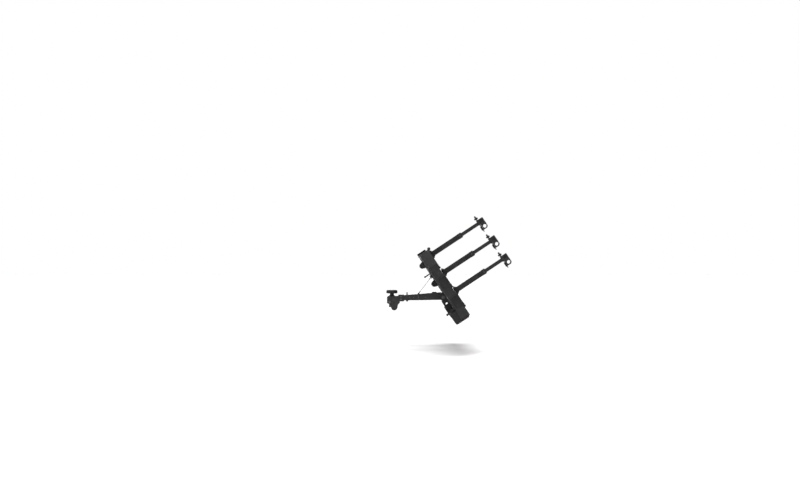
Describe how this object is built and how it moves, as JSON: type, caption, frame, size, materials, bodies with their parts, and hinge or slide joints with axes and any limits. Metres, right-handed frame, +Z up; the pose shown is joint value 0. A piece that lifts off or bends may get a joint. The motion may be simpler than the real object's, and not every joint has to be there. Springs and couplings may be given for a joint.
{
  "type": "towball bicycle carrier",
  "caption": "Tilting platform carrier for bicycles that clamps on a towball, with folding wings, wheel trays, straps, telescopic frame holders, rear lamps and a foot release.",
  "frame": {"origin": "centre of the towball that the coupling grips", "axes": "+X rearward from the car, +Y to the car's right along the deck's width, +Z up; stored with the deck tilted back 56.5 degrees"},
  "size_m": [1.2168, 1.3, 1.0172],
  "materials": {
    "coated_steel": "satin powder coat",
    "coated_casting": "satin powder coat",
    "coated_alloy": "black anodised",
    "bare_casting": "phosphated",
    "zinc": "zinc plated",
    "bronze": "sintered",
    "wire": "stranded",
    "chrome": "polished",
    "rubber": "matte",
    "grip": "soft touch",
    "strap": "ribbed",
    "black_plastic": "grained",
    "tray_plastic": "grained",
    "guard_plastic": "satin",
    "lens": "clear over red"
  },
  "bodies": {
    "tube": {"main_tube": "coated_steel", "coupling_shell": "coated_casting", "ball_seat": "bare_casting", "coupling_bolts": "zinc", "striker": "zinc", "tilt_bushes": "bronze", "tube_fittings": "coated_steel", "bump_stop": "rubber", "tilt_wire": "wire"},
    "ball_clamp": {"clamp_jaw": "bare_casting"},
    "tension_knob": {"clamp_knob": "black_plastic"},
    "lock": {"lock_barrel": "chrome"},
    "deck": {"chassis_beams": "coated_steel", "cross_members": "coated_steel", "hinge_brackets": "coated_steel", "tilt_pin": "zinc", "saddles": "black_plastic", "guide_pegs": "coated_steel", "chassis_cover": "black_plastic", "plate_board": "black_plastic", "arm_bases": "coated_steel", "grab_handle": "grip", "wing_pins": "zinc", "pivot_pins": "zinc"},
    "hook": {"latch_hook": "zinc"},
    "rod": {"pull_rod": "zinc"},
    "pedal": {"foot_pedal": "coated_steel"},
    "wing_r": {"wing_frame_r": "coated_alloy", "wheel_trays_r": "tray_plastic", "corner_guard_r": "guard_plastic", "lamp_housing_r": "black_plastic", "lamp_lens_r": "lens", "wheel_straps_r": "strap", "buckles_r": "black_plastic"},
    "lever_1_r": {"lever_1_r": "grip"},
    "lever_2_r": {"lever_2_r": "grip"},
    "lever_3_r": {"lever_3_r": "grip"},
    "wing_l": {"wing_frame_l": "coated_alloy", "wheel_trays_l": "tray_plastic", "corner_guard_l": "guard_plastic", "lamp_housing_l": "black_plastic", "lamp_lens_l": "lens", "wheel_straps_l": "strap", "buckles_l": "black_plastic"},
    "lever_1_l": {"lever_1_l": "grip"},
    "lever_2_l": {"lever_2_l": "grip"},
    "lever_3_l": {"lever_3_l": "grip"},
    "arm_1": {"arm_tube_1": "coated_alloy"},
    "slide_1": {"arm_slide_1": "coated_alloy"},
    "jaw_1": {"arm_jaw_1": "black_plastic"},
    "knob_1": {"arm_knob_1": "black_plastic"},
    "arm_2": {"arm_tube_2": "coated_alloy"},
    "slide_2": {"arm_slide_2": "coated_alloy"},
    "jaw_2": {"arm_jaw_2": "black_plastic"},
    "knob_2": {"arm_knob_2": "black_plastic"},
    "arm_3": {"arm_tube_3": "coated_alloy"},
    "slide_3": {"arm_slide_3": "coated_alloy"},
    "jaw_3": {"arm_jaw_3": "black_plastic"},
    "knob_3": {"arm_knob_3": "black_plastic"}
  },
  "joints": [
    {"name": "deck_tilt", "type": "hinge", "parent": "tube", "child": "deck", "pos_m": [0.474, 0, 0.088], "axis": [0, 1, 0], "range_deg": [-56.5, 0], "deforming": ["tilt_wire"]},
    {"name": "tension_turn", "type": "hinge", "parent": "tube", "child": "tension_knob", "pos_m": [-0.023, 0, 0.12], "axis": [0, 0, 1], "range_deg": [0, 540]},
    {"name": "clamp_open", "type": "hinge", "parent": "tube", "child": "ball_clamp", "pos_m": [-0.046, 0, 0.044], "axis": [0, 1, 0], "range_deg": [0, 20]},
    {"name": "lock_turn", "type": "hinge", "parent": "tension_knob", "child": "lock", "pos_m": [-0.023, 0, 0.148], "axis": [0, 0, 1], "range_deg": [0, 90]},
    {"name": "pedal_press", "type": "hinge", "parent": "deck", "child": "pedal", "pos_m": [0.61735, 0, -0.01498], "axis": [0, 1, 0], "range_deg": [-16.7, 0]},
    {"name": "hook_turn", "type": "hinge", "parent": "deck", "child": "hook", "pos_m": [0.34972, 0, 0.40748], "axis": [0, 1, 0], "range_deg": [-25, 0]},
    {"name": "rod_pull", "type": "slide", "parent": "deck", "child": "rod", "axis": [0.5519, 0, -0.8339], "range_m": [-0.00866, 0]},
    {"name": "wing_fold_r", "type": "hinge", "parent": "deck", "child": "wing_r", "pos_m": [0.48838, 0.132, 0.23423], "axis": [0.5519, 0, -0.8339], "range_deg": [0, 90]},
    {"name": "buckle_1_r", "type": "hinge", "parent": "wing_r", "child": "lever_1_r", "pos_m": [0.42065, 0.569, 0.38367], "axis": [0, -1, 0], "range_deg": [0, 100]},
    {"name": "buckle_2_r", "type": "hinge", "parent": "wing_r", "child": "lever_2_r", "pos_m": [0.53655, 0.569, 0.20855], "axis": [0, -1, 0], "range_deg": [0, 100]},
    {"name": "buckle_3_r", "type": "hinge", "parent": "wing_r", "child": "lever_3_r", "pos_m": [0.65246, 0.569, 0.03344], "axis": [0, -1, 0], "range_deg": [0, 100]},
    {"name": "wing_fold_l", "type": "hinge", "parent": "deck", "child": "wing_l", "pos_m": [0.48838, -0.132, 0.23423], "axis": [-0.5519, 0, 0.8339], "range_deg": [0, 90]},
    {"name": "buckle_1_l", "type": "hinge", "parent": "wing_l", "child": "lever_1_l", "pos_m": [0.42065, -0.569, 0.38367], "axis": [0, -1, 0], "range_deg": [0, 100]},
    {"name": "buckle_2_l", "type": "hinge", "parent": "wing_l", "child": "lever_2_l", "pos_m": [0.53655, -0.569, 0.20855], "axis": [0, -1, 0], "range_deg": [0, 100]},
    {"name": "buckle_3_l", "type": "hinge", "parent": "wing_l", "child": "lever_3_l", "pos_m": [0.65246, -0.569, 0.03344], "axis": [0, -1, 0], "range_deg": [0, 100]},
    {"name": "arm_fold_1", "type": "hinge", "parent": "deck", "child": "arm_1", "pos_m": [0.36779, 0, 0.50338], "axis": [0.5519, 0, -0.8339], "range_deg": [-85, 0]},
    {"name": "arm_extend_1", "type": "slide", "parent": "arm_1", "child": "slide_1", "axis": [0.8339, 0, 0.5519], "range_m": [-0.14, 0]},
    {"name": "knob_turn_1", "type": "hinge", "parent": "slide_1", "child": "knob_1", "pos_m": [0.82309, 0, 0.80474], "axis": [0.5519, 0, -0.8339], "range_deg": [0, 720]},
    {"name": "jaw_open_1", "type": "slide", "parent": "slide_1", "child": "jaw_1", "axis": [0.5519, 0, -0.8339], "range_m": [0, 0.016]},
    {"name": "arm_fold_2", "type": "hinge", "parent": "deck", "child": "arm_2", "pos_m": [0.4837, 0, 0.32827], "axis": [0.5519, 0, -0.8339], "range_deg": [-85, 0]},
    {"name": "arm_extend_2", "type": "slide", "parent": "arm_2", "child": "slide_2", "axis": [0.8339, 0, 0.5519], "range_m": [-0.14, 0]},
    {"name": "knob_turn_2", "type": "hinge", "parent": "slide_2", "child": "knob_2", "pos_m": [0.939, 0, 0.62962], "axis": [0.5519, 0, -0.8339], "range_deg": [0, 720]},
    {"name": "jaw_open_2", "type": "slide", "parent": "slide_2", "child": "jaw_2", "axis": [0.5519, 0, -0.8339], "range_m": [0, 0.016]},
    {"name": "arm_fold_3", "type": "hinge", "parent": "deck", "child": "arm_3", "pos_m": [0.59961, 0, 0.15315], "axis": [0.5519, 0, -0.8339], "range_deg": [-85, 0]},
    {"name": "arm_extend_3", "type": "slide", "parent": "arm_3", "child": "slide_3", "axis": [0.8339, 0, 0.5519], "range_m": [-0.14, 0]},
    {"name": "knob_turn_3", "type": "hinge", "parent": "slide_3", "child": "knob_3", "pos_m": [1.05491, 0, 0.45451], "axis": [0.5519, 0, -0.8339], "range_deg": [0, 720]},
    {"name": "jaw_open_3", "type": "slide", "parent": "slide_3", "child": "jaw_3", "axis": [0.5519, 0, -0.8339], "range_m": [0, 0.016]}
  ],
  "couplings": [
    {"joint": "clamp_open", "follows": "tension_turn", "ratio": 0.037037},
    {"joint": "hook_turn", "follows": "pedal_press", "ratio": 1.497},
    {"joint": "rod_pull", "follows": "pedal_press", "m_per_rad": 0.0297},
    {"joint": "jaw_open_1", "follows": "knob_turn_1", "m_per_rad": 0.0012732},
    {"joint": "jaw_open_2", "follows": "knob_turn_2", "m_per_rad": 0.0012732},
    {"joint": "jaw_open_3", "follows": "knob_turn_3", "m_per_rad": 0.0012732}
  ]
}
